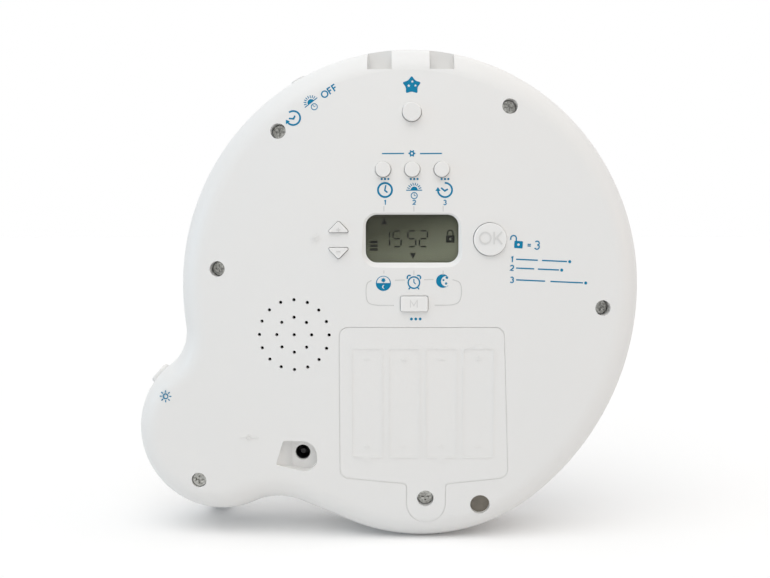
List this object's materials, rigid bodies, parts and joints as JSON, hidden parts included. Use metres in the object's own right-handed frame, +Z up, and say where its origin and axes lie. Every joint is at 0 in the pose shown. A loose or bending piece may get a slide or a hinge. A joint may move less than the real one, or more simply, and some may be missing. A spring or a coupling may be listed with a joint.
{
  "type": "kids alarm clock with night light",
  "caption": "Upright disc-shaped children's alarm clock with a side lobe: lamp in front, small display, push keys, grille and screwed battery door behind.",
  "frame": {"origin": "centre of the rear foot pad's flat underside, on the surface that the clock stands on", "axes": "+Z up, +Y from the keyed back to the lamp in front, +X to the right as seen from the back"},
  "size_m": [0.2025, 0.0636, 0.1967],
  "materials": {
    "shell_white": "satin moulded ABS",
    "key_white": "satin moulded ABS key",
    "door_white": "satin moulded ABS door",
    "steel_screw": "zinc plated steel",
    "plug_tan": "moulded plastic plug",
    "foot_rubber": "soft grey silicone",
    "lamp_opal": "opal polycarbonate diffuser",
    "lamp_amber": "amber translucent polycarbonate",
    "lamp_blue": "blue translucent polycarbonate",
    "reflector_white": "gloss white reflector",
    "board_green": "solder-masked glass fibre board",
    "led_white": "light emitting diode package",
    "window_clear": "clear acrylic window",
    "lcd_glass": "reflective liquid crystal display",
    "zebra_pink": "conductive elastomer",
    "chip_black": "moulded chip package",
    "switch_black": "tactile switch housing",
    "basket_steel": "black painted steel",
    "paper_cone": "treated paper cone",
    "magnet_dark": "ferrite magnet with steel cup",
    "gasket_foam": "closed cell foam",
    "contact_metal": "nickel plated spring steel",
    "cell_wrap": "cell with a printed wrap",
    "jack_black": "moulded inlet body",
    "wire_cover": "PVC covered wire"
  },
  "bodies": {
    "housing": {"rear_shell": "shell_white", "front_shell": "shell_white", "case_screws": "steel_screw", "screw_plug": "plug_tan", "feet": "foot_rubber", "front_diffuser": "lamp_opal", "sun_lens": "lamp_amber", "moon_lens": "lamp_blue", "lobe_lens": "lamp_opal", "lobe_cup": "reflector_white", "reflector": "reflector_white", "light_screws": "steel_screw", "led_board": "board_green", "leds": "led_white", "lobe_board": "board_green", "lobe_led": "led_white", "lcd_window": "window_clear", "lcd_panel": "lcd_glass", "lcd_holder": "shell_white", "zebra_strips": "zebra_pink", "main_board": "board_green", "board_chips": "chip_black", "board_screws": "steel_screw", "tact_switches": "switch_black", "light_switch_board": "board_green", "slide_switch": "switch_black", "speaker_gasket": "gasket_foam", "speaker_basket": "basket_steel", "speaker_cone": "paper_cone", "speaker_magnet": "magnet_dark", "battery_contacts": "contact_metal", "battery_cells": "cell_wrap", "dc_jack": "jack_black", "dc_pin": "contact_metal", "battery_leads": "wire_cover", "speaker_leads": "wire_cover", "light_leads": "wire_cover", "jack_leads": "wire_cover"},
    "star_button": {"star_button": "key_white"},
    "time_button": {"time_button": "key_white"},
    "wake_button": {"wake_button": "key_white"},
    "nap_button": {"nap_button": "key_white"},
    "ok_button": {"ok_button": "key_white"},
    "plus_button": {"plus_button": "key_white"},
    "minus_button": {"minus_button": "key_white"},
    "mode_button": {"mode_button": "key_white"},
    "light_button": {"light_button": "key_white"},
    "slide_knob": {"slide_knob": "key_white"},
    "battery_door": {"battery_door": "door_white", "door_screw": "steel_screw", "door_clip": "steel_screw"}
  },
  "joints": [
    {"name": "star_button_press", "type": "slide", "parent": "housing", "child": "star_button", "axis": [0, 1, 0], "range_m": [0, 0.0008], "stiffness_N_per_m": 1500},
    {"name": "time_button_press", "type": "slide", "parent": "housing", "child": "time_button", "axis": [0, 1, 0], "range_m": [0, 0.0008], "stiffness_N_per_m": 1500},
    {"name": "wake_button_press", "type": "slide", "parent": "housing", "child": "wake_button", "axis": [0, 1, 0], "range_m": [0, 0.0008], "stiffness_N_per_m": 1500},
    {"name": "nap_button_press", "type": "slide", "parent": "housing", "child": "nap_button", "axis": [0, 1, 0], "range_m": [0, 0.0008], "stiffness_N_per_m": 1500},
    {"name": "ok_button_press", "type": "slide", "parent": "housing", "child": "ok_button", "axis": [0, 1, 0], "range_m": [0, 0.0008], "stiffness_N_per_m": 1500},
    {"name": "plus_button_press", "type": "slide", "parent": "housing", "child": "plus_button", "axis": [0, 1, 0], "range_m": [0, 0.0008], "stiffness_N_per_m": 1500},
    {"name": "minus_button_press", "type": "slide", "parent": "housing", "child": "minus_button", "axis": [0, 1, 0], "range_m": [0, 0.0008], "stiffness_N_per_m": 1500},
    {"name": "mode_button_press", "type": "slide", "parent": "housing", "child": "mode_button", "axis": [0, 1, 0], "range_m": [0, 0.0008], "stiffness_N_per_m": 1500},
    {"name": "light_button_press", "type": "slide", "parent": "housing", "child": "light_button", "axis": [0.7478, 0, -0.6639], "range_m": [0, 0.0008], "stiffness_N_per_m": 1500},
    {"name": "slide_knob_slide", "type": "slide", "parent": "housing", "child": "slide_knob", "axis": [-0.8669, 0, -0.4985], "range_m": [-0.004, 0.004]},
    {"name": "battery_door_hinge", "type": "hinge", "parent": "housing", "child": "battery_door", "pos_m": [0.0007, -0.0229, 0.08666], "axis": [-1, 0, 0], "range_deg": [0, 60]}
  ]
}
